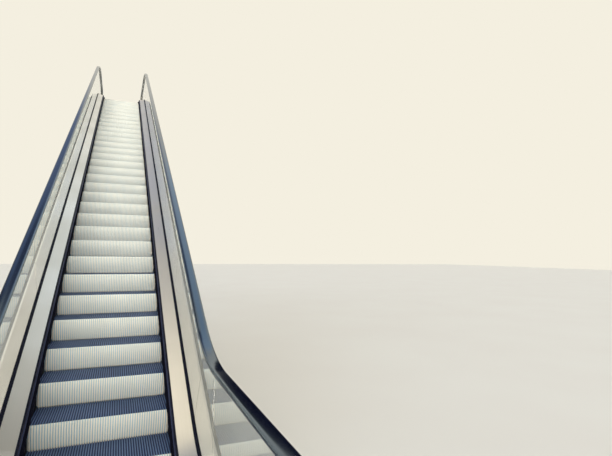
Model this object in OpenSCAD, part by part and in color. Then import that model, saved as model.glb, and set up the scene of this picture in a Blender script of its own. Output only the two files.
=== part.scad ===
// Glass-sided public escalator, built at full size in millimetres.
// X is across the steps, +Y runs up the incline and +Z is up. Ground level is Z = 0, and the
// origin is the middle of the flat seat under the lower landing.

/* [Travel] */
// Height from the lower to the upper landing floor
rise = 6300; // [3000:50:9000]
// Slope of the step band in degrees
incline = 30; // [27:0.5:35]
// Radius of the step path where it leaves the lower landing
lower_bend_r = 1500; // [1300:50:2600]
// Radius of the step path where it reaches the upper landing
upper_bend_r = 1500; // [1300:50:2600]
// Shortest level run between a comb and the bend next to it
level_run = 800; // [800:10:1200]
// Height of the treads at the lower landing above ground level
landing_h = 60; // [55:1:90]

/* [Steps] */
// Width of a step across the treads
step_w = 1000; // [800:100:1000]
// Distance from one step to the next along the chain
step_pitch = 405; // [400:1:410]
// Gap between a tread and the riser behind it
step_gap = 3; // [2:0.5:5]
// How far past the lower bend the first full step stands
step_phase = 270; // [150:1:400]
// Thickness of the tread, cleats included
tread_t = 26; // [22:1:36]
// Thickness of the curved riser, cleats included
riser_t = 18; // [15:1:22]
// Number of cleats across a tread, drawn coarser than the casting's 9 mm
cleats = 25; // [20:1:32]
// Depth of the grooves between the cleats
groove_d = 10; // [8:0.5:11]
// How far the comb teeth dip into the grooves
comb_dip = 6; // [4:0.5:7]
// Radius of a step roller
roller_r = 38; // [30:1:40]

/* [Balustrades] */
// Gap between a step and the skirt beside it
skirt_gap = 3; // [2:0.5:4]
// Thickness of the skirt panel
skirt_t = 4; // [3:0.5:6]
// Height of the skirt above the line of the step noses
skirt_top = 84; // [80:1:100]
// Width of the dark cap along the top of the skirt
skirt_cap = 14; // [8:1:20]
// How far the skirt brush reaches over the steps
brush_reach = 28; // [20:1:33]
// Height of the deck beside the glass
deck_h = 118; // [112:1:130]
// Width of the inner deck, from skirt face to glass seal
inner_deck_w = 133; // [120:1:180]
// Width of the outer deck, from glass seal to outside
outer_deck_w = 102; // [90:1:150]
// Thickness of the decking sheet
deck_t = 3; // [2:0.5:4]
// Thickness of the glass
glass_t = 10; // [8:1:12]
// Joint between two glass panels
glass_joint = 4; // [2:1:6]
// Number of glass panels along the straight incline
glass_bays = 7; // [5:1:9]
// Thickness of the rubber seal on each face of the glass
seal_t = 13; // [8:0.5:14]

/* [Handrails] */
// Height of the handrail above the line of the step noses
rail_h = 900; // [880:5:960]
// Width of the handrail
rail_w = 80; // [76:1:84]
// Depth of the handrail
rail_t = 34; // [30:1:36]
// Height above the treads at which the handrail goes into the newel base
inlet_h = 140; // [135:1:160]
// How far the newel stands out in front of the comb
newel_reach = 800; // [700:10:900]

/* [Landings] */
// Length of the floor plates from the end to the newel bases
floor_plate_len = 1480; // [1200:10:1800]
// Height of the landing floor above the treads
floor_lift = 14; // [12:1:20]
// Length of a comb segment with its teeth
comb_len = 110; // [100:5:140]
// How far the last tread runs in under the comb
comb_lap = 50; // [30:1:50]

/* [Structure] */
// Depth of the truss below the line of the step noses
truss_depth = 1000; // [900:10:1100]
// Width of a truss chord
chord_w = 60; // [50:5:80]
// Thickness of the side cladding
clad_t = 4; // [3:0.5:6]
// Length of the seat that carries the upper end
bearing_len = 150; // [120:10:200]

/* [Hidden] */
$fn = 96;
seat = 0.3;                                   // gap between a piece and what carries it
pan_t = 12;                                   // plate under the lower end
cut_z = pan_t + seat;                         // nothing inside the casing hangs lower than this
far = 30000;
bend_fn = 720;
step_fn = 360;

// Step path, measured from the start of the lower bend
lower_drop = lower_bend_r * (1 - cos(incline));
upper_drop = upper_bend_r * (1 - cos(incline));
straight_len = round(10 * (rise - lower_drop - upper_drop) / sin(incline)) / 10;
s_b = lower_bend_r * incline * PI / 180;      // straight starts
s_c = s_b + straight_len;                     // straight ends
s_d = s_c + upper_bend_r * incline * PI / 180;
tread_len = step_pitch - step_gap;
s_first = s_b + step_phase;                   // nose of the first full step
first_step = -ceil((s_first + level_run) / step_pitch);
last_step = ceil((s_d + level_run - tread_len - s_first) / step_pitch);

newel_r = (rail_h - inlet_h) / 2;             // outside of the handrail round the newel

// Stations along the ground
end_lap = 75;                                 // floor in front of the origin
end_plate_t = 8;
base_from = 130;                              // newel base, measured from the newel centre
base_to = 430;
y_front = -end_lap;
y_plates = y_front + end_plate_t + seat;
y_newel = y_plates + floor_plate_len - base_from;
y_comb = y_newel - newel_r + newel_reach;
y_a = y_comb - comb_lap - s_first - first_step * step_pitch;
y_b = y_a + lower_bend_r * sin(incline);
y_c = y_b + straight_len * cos(incline);
y_d = y_c + upper_bend_r * sin(incline);
z_low = landing_h;
z_b = z_low + lower_drop;
z_c = z_b + straight_len * sin(incline);
z_up = z_c + upper_drop;

// Stations on the upper landing, measured from the end of the upper bend
run_comb = s_first + last_step * step_pitch + tread_len - comb_lap - s_d;
run_newel = run_comb + newel_r - newel_reach + 2 * (newel_reach - newel_r);
run_back = run_comb + y_comb - y_front;

// Across the balustrade, measured from the middle of the steps
x_skirt = step_w / 2 + skirt_gap;
x_skirt_out = x_skirt + skirt_t;
x_deck = x_skirt + skirt_cap;                 // the inner deck starts beside the cap
x_seal_in = x_skirt + inner_deck_w;
x_glass_in = x_seal_in + seal_t + seat;
x_mid = x_glass_in + glass_t / 2;
x_glass_out = x_glass_in + glass_t;
x_seal_out = x_glass_out + seat + seal_t;
x_side = x_seal_out + outer_deck_w;
x_clad_out = x_side - deck_t - seat;
x_truss_out = x_clad_out - clad_t - seat;
x_chord_in = x_truss_out - chord_w;

// Heights above the nose line
deck_fold = 8;                                // edge of the deck above the skirt
deck_edge_h = skirt_top + deck_fold;
cap_below = 1;                                // top of the skirt's cap, below the edge of the deck
skirt_low = -190;
flange_w = 10;                                // flange of the skirt that the deck stands on
brush_low = 30;
brush_t = 13.7;                               // bristles where they leave the holder
brush_tip_t = 4;
brush_rise = 2;                               // underside of the tips, above that of the roots
brush_in = 7;                                 // bristles and holder, measured from the skirt
holder_low = brush_low + brush_t + seat;
holder_t = 18;
holder_slope = 4;
deck_lip = 60;                                // lower edge of the outer deck
clamp_base_t = 8;
clamp_below = 24;
clamp_top = deck_h - clamp_below;
jaw_t = 8;
glass_low = 50;
seal_under = 6;
seal_over = 6;
seal_floor = glass_low - seal_under;
glass_lap = 30;                               // glass behind the newel base, before it steps down
seal_top = deck_h + seal_over;
glass_top = rail_h - rail_t;
newel_mid = rail_h - newel_r;

// Handrail and its guide
rail_low = rail_h - rail_t;
slot_deep = 24;                               // the T-slot under the handrail, from its top
slot_lid = 12;
slot_low = rail_h - slot_deep;
slot_top = rail_h - slot_lid;
slot_half = 28;
mouth_half = 19;
guide_clear = 0.5;
guide_side = 1;
guide_half = slot_half - guide_side;
stem_half = 12;
guide_grip = 24;                              // guide over the edge of the glass
inlet_gap = 2;                                // all round the handrail in its inlet
collar_t = 10;
inlet_deep = 70;
rail_in = 60;                                 // handrail and guide inside the newel base
guide_in = 40;
edge_cut = 8;                                 // how the handrail's top is rounded off
lip_out = 3;
core_gap = 2;                                 // splice core, clear of the slot and the top
y_deck = y_newel + base_to + seat;
run_deck = run_newel - base_to - seat;

// Steps
cleat_pitch = step_w / cleats;
cleat_w = 0.55 * cleat_pitch;
cleat_draft = 1;                              // each side of a cleat leans in by this much
tooth_clear = 2;                              // room on each side of a comb tooth
tooth_w = cleat_pitch - cleat_w - 2 * tooth_clear;
riser_past = 4;                               // riser below the tread of the step in front
riser_low = tread_len * sin(incline) + riser_past;
roller_y = tread_len / 2;
roller_z = -172;
roller_w = 30;
cheek_t = 10;
cheek_in = 5;
hub_h = 18;                                   // cheek below the middle of the roller
cheek_root = 10;                              // straight part of the cheek under the tread
hub_edge = 8;
under_cleats = 1;                             // cheek stays this far below the grooves
track_t = 6;
track_w = 44;
beam_t = 60;
beam_gap = 1200;
brace_w = 40;                                 // diagonal braces of the truss
brace_in = 6;
sheet_joint = 4;                              // gap between two sheets of the casing
bearing_t = 20;
bearing_drop = 100;                           // underside of the bearing, below the treads
bearing_top = -10;                            // top of the bearing, from the treads

// Place on the step path at a distance s from the start of the lower bend
function path_y(s) =
    s < 0 ? y_a + s :
    s < s_b ? y_a + lower_bend_r * sin(s / lower_bend_r * 180 / PI) :
    s < s_c ? y_b + (s - s_b) * cos(incline) :
    s < s_d ? y_d - upper_bend_r * sin((s_d - s) / upper_bend_r * 180 / PI) :
    y_d + s - s_d;
function path_z(s) =
    s < 0 ? z_low :
    s < s_b ? z_low + lower_bend_r * (1 - cos(s / lower_bend_r * 180 / PI)) :
    s < s_c ? z_b + (s - s_b) * sin(incline) :
    s < s_d ? z_up - upper_bend_r * (1 - cos((s_d - s) / upper_bend_r * 180 / PI)) :
    z_up;
function path_tilt(s) =
    s < 0 ? 0 :
    s < s_b ? s / lower_bend_r * 180 / PI :
    s < s_c ? incline :
    s < s_d ? (s_d - s) / upper_bend_r * 180 / PI :
    0;

// Frames that follow the path, so that each piece is placed from its neighbour
module after_lower_bend() {
    translate([0, y_a, z_low + lower_bend_r]) rotate([incline, 0, 0])
        translate([0, 0, -lower_bend_r]) children();
}
module after_straight() {
    after_lower_bend() translate([0, straight_len, 0]) children();
}
module after_upper_bend() {
    after_straight() translate([0, 0, -upper_bend_r]) rotate([-incline, 0, 0])
        translate([0, 0, upper_bend_r]) children();
}
module at_lower() { translate([0, 0, z_low]) children(); }
module at_upper() { after_upper_bend() children(); }

// A section of the given length, drawn as seen along the travel
module run(len) {
    translate([0, len, 0]) rotate([90, 0, 0]) linear_extrude(len) children();
}

// A section swept along the step path in five lengths, with a hairline joint at each bend,
// from y0 on the lower landing to run1 past the upper bend
module sweep(y0, run1) {
    translate([0, y0, z_low]) run(y_a - y0 - seat) children();
    translate([0, y_a, z_low + lower_bend_r]) rotate([0, 90, 0])
        rotate_extrude(angle = incline, $fn = bend_fn)
            translate([lower_bend_r, 0]) rotate(90) children();
    after_lower_bend() translate([0, seat, 0]) run(straight_len - 2 * seat) children();
    after_straight() translate([0, 0, -upper_bend_r]) rotate([0, -90, 0])
        rotate_extrude(angle = incline, $fn = bend_fn)
            translate([upper_bend_r, 0]) rotate(-90) children();
    after_upper_bend() translate([0, seat, 0]) run(run1 - seat) children();
}

// A short core across each of those joints, for a piece that is one continuous loop
module splices() {
    long = 8;
    translate([0, y_a - long / 2, z_low]) run(long) children();
    after_lower_bend() translate([0, -long / 2, 0]) run(long) children();
    after_straight() translate([0, -long / 2, 0]) run(long) children();
    after_upper_bend() translate([0, -long / 2, 0]) run(long) children();
}

// Turn a side view into a plate that stands from x0 to x1
module side_plate(x0, x1) {
    translate([x0, 0, 0]) rotate([90, 0, 90]) linear_extrude(x1 - x0) children();
}

module above_pan() {
    difference() {
        children();
        translate([-far / 2, -far / 2, cut_z - far]) cube([far, far, far]);
    }
}

module rect(x0, x1, v0, v1) {
    translate([x0, v0]) square([x1 - x0, v1 - v0]);
}

module both_sides() {
    children();
    mirror([1, 0, 0]) children();
}

// Steps
function third(n) = 2 + round(n * (last_step - 8) / 3);
// Outline across a plate with count cleats from x_first, whose tops lie on v = 0
function cleat_points(count, x_first) = [for (i = [0 : count - 1], c = [0 : 3])
    [x_first + i * cleat_pitch + (c < 2 ? -1 : 1) * (cleat_w / 2 - (c == 1 || c == 2 ? cleat_draft : 0)),
        c == 1 || c == 2 ? 0 : -groove_d]];
module cleated(count, x_first, thick) {
    half = step_w / 2;
    polygon(concat([[half, -groove_d], [half, -thick], [-half, -thick], [-half, -groove_d]],
        cleat_points(count, x_first)));
}
module step_body() {
    half = step_w / 2;
    start = asin((groove_d + tread_t) / 2 / tread_len);
    end = asin(riser_low / tread_len);
    top = -groove_d - under_cleats;
    run(tread_len) cleated(cleats, (cleat_pitch - step_w) / 2, tread_t);
    // the riser's cleats stand opposite the grooves of the tread in front
    translate([0, tread_len, 0]) rotate([0, 90, 0]) rotate([0, 0, start - 90])
        rotate_extrude(angle = end - start, $fn = step_fn) translate([tread_len, 0]) rotate(-90)
            cleated(cleats - 1, cleat_pitch - half, riser_t);
    both_sides() side_plate(half - cheek_t - cheek_in, half - cheek_in) intersection() {
        translate([tread_len, 0]) circle(tread_len + top, $fn = step_fn);
        polygon([[0, top], [tread_len - under_cleats, top],
            [tread_len - under_cleats, -tread_t - cheek_root],
            [roller_y + roller_r - hub_edge, roller_z - hub_h],
            [roller_y - roller_r + hub_edge, -riser_low], [0, -riser_low]]);
    }
    both_sides() translate([half - cheek_in - cheek_t - roller_w, roller_y, roller_z])
        rotate([0, 90, 0]) cylinder(r = roller_r, h = roller_w);
}

module steps(k0, k1) {
    color("gainsboro") above_pan() for (k = [k0 : k1]) {
        s = s_first + k * step_pitch;
        translate([0, path_y(s), path_z(s)]) step_body();
    }
}
module steps_lower() { steps(first_step, 2); }
module steps_incline_a() { steps(3, third(1)); }
module steps_incline_b() { steps(third(1) + 1, third(2)); }
module steps_incline_c() { steps(third(2) + 1, third(3)); }
module steps_upper() { steps(third(3) + 1, last_step); }

module step_tracks() {
    half = step_w / 2 - cheek_in - cheek_t - roller_w / 2;
    color("dimgray") above_pan() translate([0, roller_y, roller_z]) both_sides()
        sweep(y_comb, run_comb - roller_y)
            rect(half - track_w / 2, half + track_w / 2, -roller_r - seat - track_t, -roller_r - seat);
}

// Landings
plate_low = cut_z - z_low;                    // underside of the landing floor, from the treads
tooth_back = 12;                              // teeth start this far behind the tread that runs in
tooth_root = 8;                               // teeth grow out of this much of the segment
tooth_nose = 14;                              // length of the chamfer under a tooth's tip
comb_flat = 35;
tip_t = 2;
plates = 3;
bar_w = 30;                                   // bars that carry the floor plates
bars = 5;
lift_hole_r = 7;
comb_from = newel_reach - newel_r - base_from;   // newel base front to the comb line
module floor_plates() {
    len = floor_plate_len / plates;
    inner = x_chord_in - seat;
    color("darkgray") for (i = [0 : plates - 1]) translate([0, i * len, 0]) {
        difference() {
            translate([-x_clad_out, 0, seat]) cube([2 * x_clad_out, len - seat, floor_lift - seat]);
            both_sides() translate([inner / 2, len / 2, floor_lift / 2])
                cylinder(r = lift_hole_r, h = floor_lift);
        }
        for (j = [0 : bars - 1]) translate([-inner + j * (2 * inner - bar_w) / (bars - 1), 0, plate_low])
            cube([bar_w, len - seat, seat - plate_low]);
    }
}
module comb_plate() {
    wide = x_skirt - seat;
    color("silver") {
        translate([-wide, 0, seat]) cube([2 * wide, comb_from - comb_len - seat, floor_lift - seat]);
        translate([-wide, 0, plate_low]) cube([2 * wide, bar_w, seat - plate_low]);
    }
}
// A row of five comb segments, each with teeth that run in the grooves of the treads
function comb_split(j) = round(j * cleats / 5);
function comb_edge(j) =
    j == 0 ? seat - x_skirt :
    j == 5 ? x_skirt :
    (comb_split(j) + 0.5) * cleat_pitch - step_w / 2;
module comb_row() {
    body_len = comb_len - comb_lap - tooth_back;
    slope = (floor_lift - tip_t) / (comb_len - comb_flat);
    root_h = floor_lift - (body_len - comb_flat) * slope;
    color("darkgray") for (j = [0 : 4]) {
        side_plate(comb_edge(j), comb_edge(j + 1) - seat)
            polygon([[0, seat], [body_len, seat], [body_len, root_h], [comb_flat, floor_lift],
                [0, floor_lift]]);
        for (i = [comb_split(j) + 1 : comb_split(j + 1) - (j == 4 ? 1 : 0)])
            translate([i * cleat_pitch - step_w / 2, 0, 0]) side_plate(-tooth_w / 2, tooth_w / 2)
                polygon([[body_len - tooth_root, seat], [body_len, -comb_dip],
                    [comb_len - tooth_nose, -comb_dip], [comb_len, 0], [comb_len, tip_t],
                    [body_len - tooth_root, root_h + tooth_root * slope]]);
    }
}
module landing() { translate([0, y_plates, z_low]) children(); }
module landing_up() {
    at_upper() translate([0, run_back - end_plate_t - seat, 0]) mirror([0, 1, 0]) children();
}
module lower_floor_plates() { landing() floor_plates(); }
module upper_floor_plates() { landing_up() floor_plates(); }
module lower_comb_plate() { landing() translate([0, floor_plate_len, 0]) comb_plate(); }
module upper_comb_plate() { landing_up() translate([0, floor_plate_len, 0]) comb_plate(); }
module lower_combs() { translate([0, y_comb - comb_len, z_low]) comb_row(); }
module upper_combs() { at_upper() translate([0, run_comb + comb_len, 0]) mirror([0, 1, 0]) comb_row(); }

module lower_base_pan() {
    y_end = y_b + (truss_depth / cos(incline) - z_b) / tan(incline);
    color("dimgray") {
        translate([-x_truss_out, y_front, 0]) cube([2 * x_truss_out, y_end - y_front, pan_t]);
        translate([-x_truss_out, y_front, 0]) cube([2 * x_truss_out, end_plate_t, z_low]);
    }
}

// Sections across the right balustrade
module skirt_section() {
    rect(x_skirt, x_skirt_out, skirt_low, skirt_top);
    rect(x_skirt, x_deck + flange_w, skirt_top - skirt_t, skirt_top);
    rect(x_skirt, x_deck - seat, skirt_top - skirt_t, deck_edge_h - cap_below);
}
module holder_section() {
    x1 = x_skirt - seat;
    x0 = x_skirt - brush_in;
    polygon([[x1, holder_low], [x1, holder_low + holder_t],
        [x0, holder_low + holder_t - holder_slope], [x0, holder_low]]);
}
module brush_section() {
    tip = x_skirt - brush_reach;
    tip_low = brush_low + brush_rise;
    polygon([[x_skirt - seat, brush_low], [x_skirt - seat, brush_low + brush_t],
        [x_skirt - brush_in, brush_low + brush_t], [tip, tip_low + brush_tip_t], [tip, tip_low]]);
}
module inner_deck_section() {
    x0 = x_deck;
    x1 = x_seal_in - seat;
    low = skirt_top + seat;
    polygon([[x0, low], [x0, deck_edge_h], [x1, deck_h], [x1, clamp_top + seat],
        [x1 - deck_t, clamp_top + seat], [x1 - deck_t, deck_h - deck_t],
        [x0 + deck_t, deck_edge_h - deck_t], [x0 + deck_t, low]]);
}
module outer_deck_section() {
    x0 = x_seal_out + seat;
    x1 = x_side;
    polygon([[x0, clamp_top + seat], [x0, deck_h], [x1, deck_edge_h], [x1, deck_lip],
        [x1 - deck_t, deck_lip], [x1 - deck_t, deck_edge_h - deck_t],
        [x0 + deck_t, deck_h - deck_t], [x0 + deck_t, clamp_top + seat]]);
}
module clamp_section() {
    difference() {
        union() {
            rect(x_skirt_out + seat, x_truss_out, seat, clamp_base_t);
            rect(x_seal_in - jaw_t, x_seal_out + jaw_t, clamp_base_t / 2, clamp_top);
        }
        rect(x_seal_in - seat, x_seal_out + seat, seal_floor, deck_h);
    }
}
module seal_section() {
    difference() {
        rect(x_seal_in, x_seal_out, seal_floor + seat, seal_top);
        rect(x_glass_in - seat, x_glass_out + seat, glass_low - seat, seal_top + 1);
    }
}
module guide_section() {
    difference() {
        union() {
            rect(x_mid - stem_half, x_mid + stem_half, glass_top - guide_grip, slot_low + guide_clear + 2);
            rect(x_mid - guide_half, x_mid + guide_half, slot_low + guide_clear, slot_top - guide_clear);
        }
        rect(x_glass_in - seat, x_glass_out + seat, glass_top - guide_grip - 1, glass_top + seat);
    }
}
module rail_section() {
    difference() {
        translate([x_mid, rail_low]) intersection() {
            translate([-rail_w / 2, 0]) square([rail_w, rail_t]);
            union() {
                translate([0, rail_t - 2 * rail_w]) circle(2 * rail_w, $fn = 180);
                translate([edge_cut - rail_w / 2, 0]) square([rail_w - 2 * edge_cut, rail_t - edge_cut]);
            }
            union() {
                for (i = [-1, 1]) translate([i * (rail_w / 2 - rail_t / 2 + lip_out), rail_t / 2])
                    circle(rail_t / 2 - 1);
                translate([-rail_w / 2 + rail_t / 2, 0]) square([rail_w - rail_t, rail_t]);
            }
        }
        rect(x_mid - slot_half, x_mid + slot_half, slot_low, slot_top);
        rect(x_mid - mouth_half, x_mid + mouth_half, rail_low - 1, slot_low + 1);
    }
}

module deck_run() { sweep(y_deck, run_deck) children(); }
module skirt() { above_pan() deck_run() skirt_section(); }

// A section that runs the whole handrail loop above the deck: both newels and the way between
module rail_loop(inlet) {
    sweep(y_newel, run_newel) children();
    translate([0, y_newel, z_low]) newel_turn(inlet) children();
    at_upper() translate([0, run_newel, 0]) mirror([0, 1, 0]) newel_turn(inlet) children();
}
module newel_turn(inlet) {
    translate([0, 0, newel_mid]) rotate([0, -90, 0]) rotate([0, 0, -180])
        rotate_extrude(angle = 180) translate([newel_r - rail_h, 0]) rotate(-90) children();
    translate([0, 0, 2 * newel_mid]) run(inlet) mirror([0, 1, 0]) children();
}

module handrail() {
    rail_loop(base_from + rail_in) rail_section();
    splices() rect(x_mid - mouth_half, x_mid + mouth_half, slot_top + core_gap, rail_h - core_gap - 1);
}

module glass_end() {
    r = glass_top - newel_mid;
    side_plate(x_glass_in, x_glass_out) {
        translate([0, newel_mid]) circle(r, $fn = 180);
        translate([0, newel_mid - r]) square([base_to + glass_lap, 2 * r]);
    }
}
bay = straight_len / glass_bays;
module joint_cut() {
    translate([x_glass_in - 1, -glass_joint / 2, 0]) cube([glass_t + 2, glass_joint, rail_h]);
}
// Joints between sheets along the straight, in line with the glass
module sheet_joints(x0, x1, v0, v1) {
    after_lower_bend() for (i = [1 : glass_bays - 1])
        translate([x0, i * bay - sheet_joint / 2, v0]) cube([x1 - x0, sheet_joint, v1 - v0]);
}
module glass() {
    difference() {
        union() {
            sweep(y_newel + base_to + glass_lap, run_newel - base_to - glass_lap)
                rect(x_glass_in, x_glass_out, glass_low, glass_top);
            translate([0, y_newel, z_low]) glass_end();
            at_upper() translate([0, run_newel, 0]) mirror([0, 1, 0]) glass_end();
        }
        translate([0, y_a, z_low]) joint_cut();
        after_lower_bend() for (i = [0 : glass_bays]) translate([0, i * bay, 0]) joint_cut();
        at_upper() joint_cut();
    }
}

// The base that the newel stands in, drawn from the newel centre towards the steps
hood_over = 62;                               // hood above and beside the handrail
hood_beside = 22;
hood_top = inlet_h + rail_t + hood_over;
hood_half = rail_w / 2 + hood_beside;
hood_r = 30;
hood_root = 20;                               // hood inside the base
hood_end = 8;                                 // height of the hood at the back
slot_clear = 0.5;                             // slot for the glass edge
corner_r = 60;                                // corners of the base, seen from above
module rounded_front(x0, x1, len, r) {
    difference() {
        translate([x0, 0]) square([x1 - x0, len]);
        for (c = [[x0, 1], [x1, -1]]) translate([c[0], 0]) difference() {
            translate([c[1] < 0 ? -r : 0, 0]) square(r);
            translate([c[1] * r, r]) circle(r);
        }
    }
}
module inlet_hole(gap, from, to) {
    half = rail_w / 2 + gap;
    translate([0, from, 0]) run(to - from)
        rect(x_mid - half, x_mid + half, inlet_h - gap, inlet_h + rail_t + gap);
}
module newel_base() {
    long = base_to - base_from;
    difference() {
        union() {
            translate([0, base_from, 0]) run(long) rect(x_skirt, x_side, seat, floor_lift);
            intersection() {
                translate([0, base_from, 0]) run(long) polygon([[x_skirt, seat], [x_skirt, deck_edge_h],
                    [x_seal_in, deck_h], [x_seal_out, deck_h], [x_side, deck_edge_h], [x_side, seat]]);
                translate([0, base_from, 0]) linear_extrude(deck_h)
                    rounded_front(x_skirt, x_side, long, corner_r);
            }
            // hood: a rounded section, cut to a sloping side view
            intersection() {
                translate([x_mid, base_from, 0]) run(long) {
                    rect(-hood_half, hood_half, deck_h - hood_root, hood_top - hood_r);
                    rect(hood_r - hood_half, hood_half - hood_r, deck_h, hood_top);
                    for (i = [-1, 1]) translate([i * (hood_half - hood_r), hood_top - hood_r])
                        circle(hood_r);
                }
                side_plate(x_mid - hood_half - 1, x_mid + hood_half + 1)
                    polygon([[base_from, deck_h - hood_root], [base_from, hood_top],
                        [base_from + long / 2, hood_top], [base_to, deck_h + hood_end],
                        [base_to, deck_h - hood_root]]);
            }
        }
        translate([0, base_from - 1, 0]) run(long + 2)
            rect(x_glass_in - slot_clear, x_glass_out + slot_clear,
                2 * newel_mid - glass_top - slot_clear, hood_top + 1);
        inlet_hole(inlet_gap, 0, base_from + inlet_deep);
        translate([0, base_from - 1, 0]) run(inlet_deep)
            rect(x_mid - stem_half - 1, x_mid + stem_half + 1,
                inlet_h, inlet_h + rail_t + guide_grip + 1);
        inlet_hole(collar_t, base_from - 1, base_from + collar_t);
    }
}
// The rubber collar that the handrail goes in through
module inlet_collar() {
    edge = collar_t - seat;
    difference() {
        inlet_hole(edge, base_from, base_from + edge);
        inlet_hole(inlet_gap, base_from - 1, base_from + collar_t);
        translate([0, base_from - 1, 0]) run(collar_t + 1)
            rect(x_mid - slot_half, x_mid + slot_half,
                inlet_h + rail_t - 1, inlet_h + rail_t + collar_t);
    }
}
module handrail_inlets() {
    color("#101018") both_sides() {
        translate([0, y_newel, z_low]) inlet_collar();
        at_upper() translate([0, run_newel, 0]) mirror([0, 1, 0]) inlet_collar();
    }
}
module newel_bases_lower() {
    color("silver") both_sides() translate([0, y_newel, z_low]) newel_base();
}
module newel_bases_upper() {
    color("silver") both_sides() at_upper() translate([0, run_newel, 0]) mirror([0, 1, 0]) newel_base();
}

// Outer casing
clad_below = 3;                               // top of the cladding, below the deck
module cladding_side() {
    x0 = x_clad_out - clad_t;
    difference() {
        union() {
            sweep(y_deck, run_deck) rect(x0, x_clad_out, -truss_depth, deck_edge_h - deck_t - clad_below);
            translate([0, y_front, z_low]) run(y_deck - y_front) rect(x0, x_clad_out, -truss_depth, 0);
            at_upper() translate([0, run_deck, 0]) run(run_back - run_deck)
                rect(x0, x_clad_out, -truss_depth, 0);
        }
        translate([-far / 2, -far / 2, -far]) cube(far);
        sheet_joints(x0 - 1, x_clad_out + 1, -truss_depth - 1, deck_edge_h);
    }
}
module soffit_plate() {
    above_pan() difference() {
        sweep(y_front, run_back) rect(-x_truss_out, x_truss_out, -truss_depth, -truss_depth + clad_t);
        sheet_joints(-x_side, x_side, -truss_depth - 1, -truss_depth + clad_t + 1);
    }
}
chord_low = -truss_depth + clad_t + seat;
truss_bays = floor((s_c - s_b) / beam_gap);
truss_bay = straight_len / truss_bays;
module truss_side() {
    above_pan() {
        sweep(y_plates, run_back - end_plate_t - seat) {
            rect(x_chord_in, x_truss_out, -chord_w, 0);
            rect(x_chord_in, x_truss_out, chord_low, chord_low + chord_w);
        }
        after_lower_bend() for (i = [0 : truss_bays]) {
            truss_post(i * truss_bay);
            if (i < truss_bays) truss_diagonal(i * truss_bay);
        }
        at_upper() for (i = [1 : 2]) truss_post(i * run_back / 2 - chord_w);
    }
}
module truss_post(at) {
    translate([x_chord_in, at - chord_w / 2, chord_low + 1]) cube([chord_w, chord_w, -chord_low - 2]);
}
module truss_diagonal(at) {
    drop = -chord_low - chord_w;
    translate([x_chord_in + brace_in, at, chord_low + chord_w / 2]) rotate([atan2(drop, truss_bay), 0, 0])
        translate([0, 0, -brace_w / 2]) cube([chord_w - 2 * brace_in, norm([drop, truss_bay]), brace_w]);
}
beam_v = -roller_r - track_t - 2 * seat - beam_t;
module beam(at, v) {
    wide = x_chord_in - seat;
    translate([-wide, at - beam_t / 2, v]) cube([2 * wide, beam_t, beam_t]);
}
module truss_beams() {
    color("dimgray") above_pan() {
        translate([0, roller_y, roller_z]) after_lower_bend()
            for (i = [0 : truss_bays]) beam(i * truss_bay, beam_v);
        at_upper() for (i = [1 : 2]) beam(roller_y + i * (run_comb - 2 * roller_y) / 2, roller_z + beam_v);
        landing_up() for (i = [0 : plates])
            beam(beam_t + i * (floor_plate_len - beam_t) / plates, plate_low - seat - beam_t);
    }
}
module upper_end_wall() {
    color("dimgray") at_upper() translate([-x_truss_out, run_back - end_plate_t, chord_low])
        cube([2 * x_truss_out, end_plate_t, -chord_low]);
}
module upper_bearing() {
    color("dimgray") at_upper() translate([-x_truss_out, run_back + seat, -bearing_drop]) {
        cube([2 * x_truss_out, bearing_len, bearing_t]);
        cube([2 * x_truss_out, bearing_t, bearing_drop + bearing_top]);
    }
}

module skirt_left() { color("#1b2036") mirror([1, 0, 0]) skirt(); }
module skirt_right() { color("#1b2036") skirt(); }
module brush_holder_left() { color("silver") mirror([1, 0, 0]) deck_run() holder_section(); }
module brush_holder_right() { color("silver") deck_run() holder_section(); }
module skirt_brush_left() { color("#15151c") mirror([1, 0, 0]) deck_run() brush_section(); }
module skirt_brush_right() { color("#15151c") deck_run() brush_section(); }
module inner_deck_left() { color("#d8d3c6") mirror([1, 0, 0]) deck_run() inner_deck_section(); }
module inner_deck_right() { color("#d8d3c6") deck_run() inner_deck_section(); }
module glass_clamp_left() { color("gray") mirror([1, 0, 0]) deck_run() clamp_section(); }
module glass_clamp_right() { color("gray") deck_run() clamp_section(); }
module glass_seal_left() { color("#101018") mirror([1, 0, 0]) deck_run() seal_section(); }
module glass_seal_right() { color("#101018") deck_run() seal_section(); }
module glass_left() { color("#9fc4c4") mirror([1, 0, 0]) glass(); }
module glass_right() { color("#9fc4c4") glass(); }
module handrail_guide() { rail_loop(base_from + guide_in) guide_section(); }
module handrail_guide_left() { color("silver") mirror([1, 0, 0]) handrail_guide(); }
module handrail_guide_right() { color("silver") handrail_guide(); }
module handrail_left() { color("#0c0d14") mirror([1, 0, 0]) handrail(); }
module handrail_right() { color("#0c0d14") handrail(); }
module outer_deck_left() { color("#d8d3c6") mirror([1, 0, 0]) deck_run() outer_deck_section(); }
module outer_deck_right() { color("#d8d3c6") deck_run() outer_deck_section(); }
module side_cladding_left() { color("#b9b6ac") mirror([1, 0, 0]) cladding_side(); }
module side_cladding_right() { color("#b9b6ac") cladding_side(); }
module soffit() { color("#b9b6ac") soffit_plate(); }
module truss_left() { color("#4a4d55") mirror([1, 0, 0]) truss_side(); }
module truss_right() { color("#4a4d55") truss_side(); }

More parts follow.
